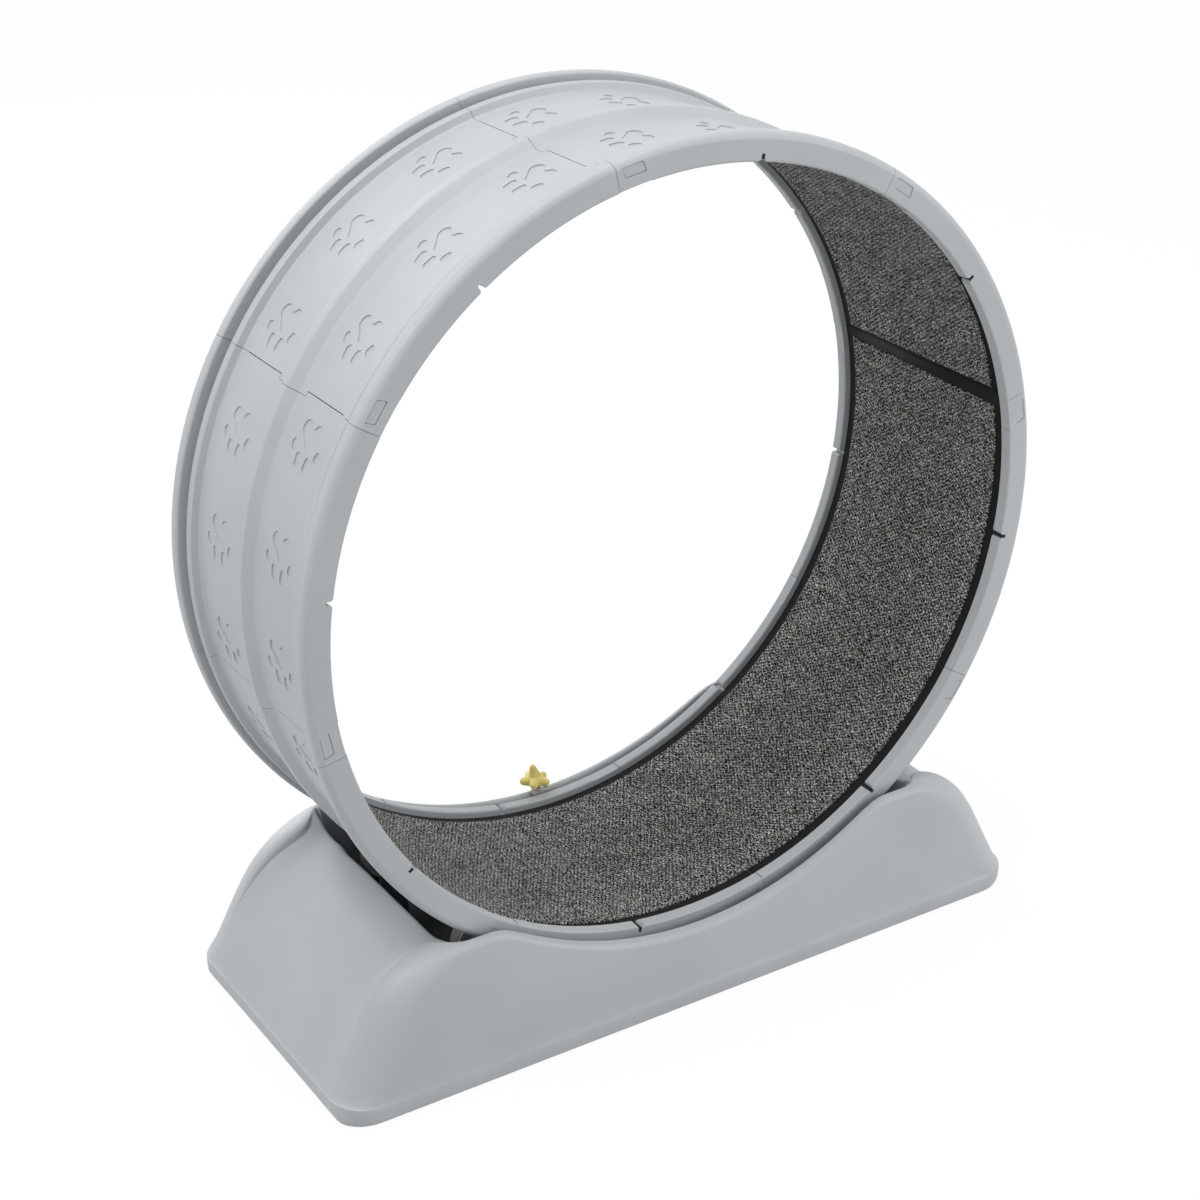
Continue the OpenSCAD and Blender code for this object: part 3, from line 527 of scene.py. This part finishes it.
# %% Painted shade in the notches
SHADE_TAB_MATS = (0, 1, 2)
NOTCH_TURNS = (22.5, 67.5)
SHADE_TAB_R, SHADE_TAB_SIZE, SHADE_TAB_LAP = 0.4256, (0.0038, 0.0145, 0.0054), 0.0005


def add_shade_tabs(mesh, turns):
    """A small black tab in the front rim's notch at each turn, as painted shade."""
    bm = bmesh.new()
    bm.from_mesh(mesh)
    for turn in turns:
        spin = Matrix.Translation(AXLE) @ Matrix.Rotation(math.radians(turn), 4, "Y")
        shift = Matrix.Translation((0, -MAT_HALF_W - SHADE_TAB_SIZE[1] / 2 + SHADE_TAB_LAP, SHADE_TAB_R))
        bmesh.ops.create_cube(bm, size=1, matrix=spin @ shift @ Matrix.Diagonal((*SHADE_TAB_SIZE, 1)))
    bm.to_mesh(mesh)
    bm.free()


print("tabs:", len(SHADE_TAB_MATS) * len(NOTCH_TURNS))

# %% [markdown]
# With the sections, edges and tabs ready, a mat is put together layer by layer. The backing stays a
# hair off the deck, and each of the four mats rides on the wheel in place of its plain CAD sheet.

# %% Carpet mats
DECK_GAP, SEAM_SLACK = 0.0001, 0.0008
BACKING_STEPS, PILE_STEPS, PILE_ROWS = 64, 400, 40


def mat_backing(k, from_turn, to_turn):
    low, high = DECK_R - DECK_GAP, DECK_R - BACKING_T
    sheet_section = [(low, -MAT_HALF_W), (high, -MAT_HALF_W), (high, MAT_HALF_W), (low, MAT_HALF_W)]
    slack = turn_of(SEAM_SLACK)
    sheet = spun("mat_backing_%d" % (k + 1), sheet_section, from_turn + slack, to_turn - slack, BACKING_STEPS)
    # painted shade: black tabs in the front rim's notches, built with the backing
    if k in SHADE_TAB_MATS:
        add_shade_tabs(sheet.data, [from_turn + turn for turn in NOTCH_TURNS])
    sheet.data.materials.append(backing)
    return sheet


def mat_pile(k, from_turn, to_turn):
    top, round_r = DECK_R - PILE_T, PILE_T - BACKING_T
    front, rear = MAT_HALF_W - FRONT_BAND_W, MAT_HALF_W - BACK_BAND_W
    row = (front + rear - 2 * round_r) / PILE_ROWS
    across = [(top, -front + round_r + row * i) for i in range(1, PILE_ROWS)]
    pile_section = (rounded_edge(top, front, round_r, -1) + across
                    + rounded_edge(top, rear, round_r, 1)[::-1])
    loops = spun("mat_pile_%d" % (k + 1), pile_section, from_turn + turn_of(START_GAP_AND_SHADE[k]),
                 to_turn - turn_of(END_GAP[k]), PILE_STEPS)
    stray_edges(loops.data, front, rear, 2 * round_r)
    skew_start(loops.data, from_turn, to_turn, START_SKEW[k])
    loops.data.materials.append(pile)
    return loops


def carpet_mat(k):
    turns = SEAM_TURN + MAT_TURN * k, SEAM_TURN + MAT_TURN * (k + 1)
    sheet = mat_backing(k, *turns)
    loops = mat_pile(k, *turns)
    loops.parent = sheet
    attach(sheet, "wheel")
    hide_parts("tread_mat_%d" % (k + 1))
    return loops


piles = [carpet_mat(k) for k in range(MATS)]
print("mats:", len(piles), "with", sum(len(p.data.polygons) for p in piles), "pile faces")

# %% [markdown]
# The toy is a star of five round lobes that lies flat round a taller tip, which leans a little. Its
# lobes flow into each other, so they are simple spheres that a voxel remesh makes one skin, which is
# then smoothed. The sizes were read off the photo.

# %% Toy star
STAR_FOOT = Vector((-0.0062, 0.168, 0.10475))
RING_Z, RING_R = 0.0073, 0.0140
LOBES = 5
LOBE_BALLS = ((0.4, 0.0070), (0.7, 0.0060), (1.0, 0.0049))
TIP_BALLS = 6
TIP_Z, TIP_RISE, TIP_LEAN = 0.0110, 0.0145, -0.0030
TIP_LOW_R, TIP_TAPER = 0.0080, 0.0042


def star_balls():
    """Places, radii and heights, as shares, of the balls that make up the star."""
    yield (0, 0, RING_Z), 0.0092, 0.85
    yield (0.001, -0.001, 0.0062), 0.0068, 1
    for k in range(LOBES):
        a = math.radians(90 + 360 / LOBES * k)
        for share, radius in LOBE_BALLS:
            yield (RING_R * share * math.cos(a), RING_R * share * math.sin(a), RING_Z), radius, 1
    for k in range(TIP_BALLS):
        share = k / (TIP_BALLS - 1)
        yield (TIP_LEAN * share, 0, TIP_Z + TIP_RISE * share), TIP_LOW_R - TIP_TAPER * share, 1


def ball_mesh(name):
    bm = bmesh.new()
    for place, radius, height in star_balls():
        stretch = Matrix.Diagonal((1, 1, height, 1))
        bmesh.ops.create_uvsphere(bm, u_segments=24, v_segments=16, radius=radius,
                                  matrix=Matrix.Translation(STAR_FOOT + Vector(place)) @ stretch)
    return finished_mesh(name, bm)


print("balls:", len(list(star_balls())))

# %% [markdown]
# The remesh and the smoothing are modifiers. Their result is made the star's own mesh, so that the
# balls inside it are gone for good.

# %% One skin for the star
SKIN_VOXEL = 0.0006
SOFTENING, SOFT_ROUNDS = 0.5, 10

star = add_object("star", ball_mesh("star"))
skin = star.modifiers.new("one_skin", "REMESH")
skin.mode = "VOXEL"
skin.voxel_size = SKIN_VOXEL
soft = star.modifiers.new("soft", "SMOOTH")
soft.factor = SOFTENING
soft.iterations = SOFT_ROUNDS
done = bpy.data.meshes.new_from_object(star.evaluated_get(bpy.context.evaluated_depsgraph_get()))
star.modifiers.clear()
star.data = done
for face in done.polygons:
    face.use_smooth = True
done.materials.clear()
done.materials.append(silicone)
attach(star, "toy_star")
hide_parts("toy_star")
print("star:", len(done.polygons), "faces")

# %% [markdown]
# The photo has no visible floor line. A wide pale sheet lies under the foot. To the camera it shows
# nearly the same white as the surround, and it keeps a little of the foot's own shadow. The sheet's
# own glow is mixed in only for the rays that show it, so it adds no light to the part.

# %% Floor
FLOOR_HALF = 6
FLOOR_GLOW, GLOW_SHARE = 1.05, 0.9

bm = bmesh.new()
bmesh.ops.create_grid(bm, x_segments=1, y_segments=1, size=FLOOR_HALF)
floor = add_object("floor", finished_mesh("floor", bm))
paper, shader, start, place = new_material("paper_floor")
grain = start.put("ShaderNodeTexNoise", Vector=place, Scale=300.0)
feed(shader, Base_Color=grain.mix(colour(196, 196, 196), colour(202, 202, 202)), Roughness=0.9)
glow = start.put("ShaderNodeEmission", Color=(1, 1, 1, 1), Strength=FLOOR_GLOW)
both = start.put("ShaderNodeMixShader", i0=seen_itself(start) * GLOW_SHARE,
                 i1=Value(paper.node_tree, shader.outputs[0]), i2=glow)
surface = next(n for n in paper.node_tree.nodes if n.type == "OUTPUT_MATERIAL").inputs["Surface"]
paper.node_tree.links.new(both.socket, surface)
floor.data.materials.append(paper)
print("floor of", 2 * FLOOR_HALF, "m")

# %% [markdown]
# The scene is complete.

# %% Done
print("scene dressed")
